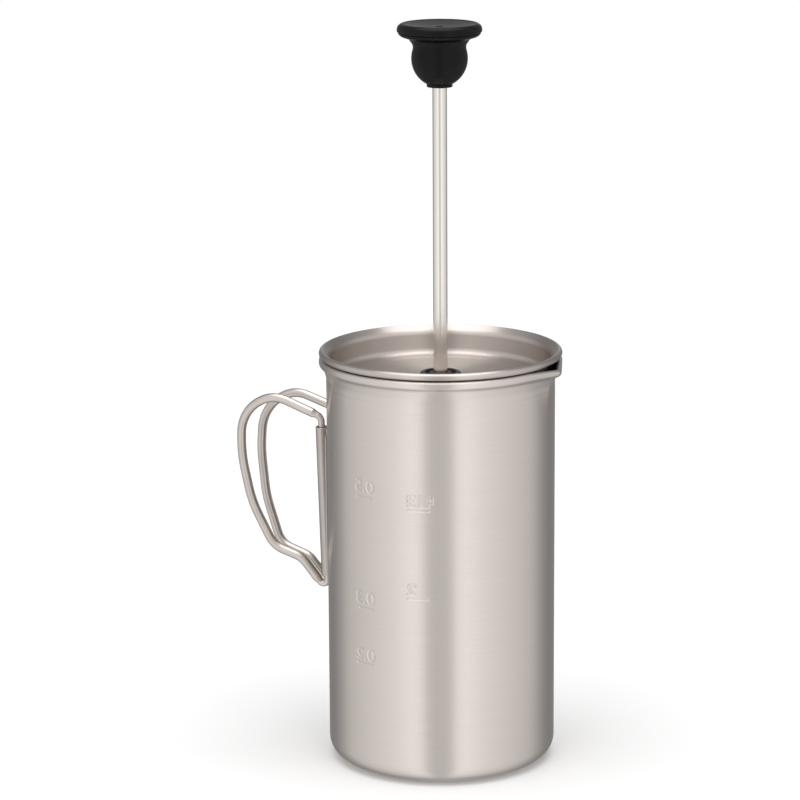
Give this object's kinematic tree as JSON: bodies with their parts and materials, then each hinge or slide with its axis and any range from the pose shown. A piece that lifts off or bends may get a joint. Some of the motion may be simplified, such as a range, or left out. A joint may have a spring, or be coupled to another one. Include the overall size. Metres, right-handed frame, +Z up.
{
  "type": "french press",
  "caption": "Metal french press: tall straight pot with folding wire handle and pouring lip, dished lid, and a raised plunger with mushroom knob and filter stack.",
  "frame": {"origin": "centre of the flat underside of the pot", "axes": "+Z up along the plunger, +X towards the pouring lip, -X towards the handle; XZ is the plane of symmetry"},
  "size_m": [0.1211, 0.085, 0.2607],
  "materials": {
    "vessel_metal": "fine brushed, satin",
    "lid_metal": "fine brushed, satin",
    "bracket_metal": "satin",
    "handle_wire": "drawn wire, satin",
    "bushing_plastic": "moulded, matte",
    "retainer_metal": "satin",
    "seal_rubber": "soft, matte",
    "rod_metal": "polished",
    "knob_plastic": "moulded, satin",
    "insert_brass": "machined",
    "filter_metal": "satin",
    "spring_metal": "bright wire",
    "mesh_metal": "fine woven"
  },
  "bodies": {
    "pot": {"vessel": "vessel_metal", "handle_bracket": "bracket_metal"},
    "front_loop": {"handle_loop_front": "handle_wire"},
    "rear_loop": {"handle_loop_rear": "handle_wire"},
    "lid_set": {"lid": "lid_metal", "lid_bushing": "bushing_plastic", "bushing_retainer": "retainer_metal"},
    "seal": {"rod_seal": "seal_rubber"},
    "plunger": {"plunger_rod": "rod_metal", "knob_body": "knob_plastic", "knob_cap": "knob_plastic", "knob_insert": "insert_brass", "filter_collar": "filter_metal", "filter_spring_plate": "filter_metal", "filter_spring": "spring_metal", "filter_mesh": "mesh_metal", "filter_cross_plate": "filter_metal", "lock_washer": "filter_metal", "filter_nut": "filter_metal"}
  },
  "joints": [
    {"name": "front_loop_fold", "type": "hinge", "parent": "pot", "child": "front_loop", "pos_m": [-0.043, -0.005, 0.0888], "axis": [0, -0.0649, 0.9979], "range_deg": [-5, 100]},
    {"name": "rear_loop_fold", "type": "hinge", "parent": "pot", "child": "rear_loop", "pos_m": [-0.043, 0.005, 0.0888], "axis": [0, -0.0649, -0.9979], "range_deg": [-5, 100]},
    {"name": "lid_lift", "type": "slide", "parent": "pot", "child": "lid_set", "axis": [0, 0, 1], "range_m": [0, 0.15]},
    {"name": "plunger_turn", "type": "hinge", "parent": "lid_set", "child": "seal", "pos_m": [0, 0, 0.1346], "axis": [0, 0, 1], "continuous": true},
    {"name": "plunger_press", "type": "slide", "parent": "seal", "child": "plunger", "axis": [0, 0, 1], "range_m": [-0.0997, 0]}
  ]
}
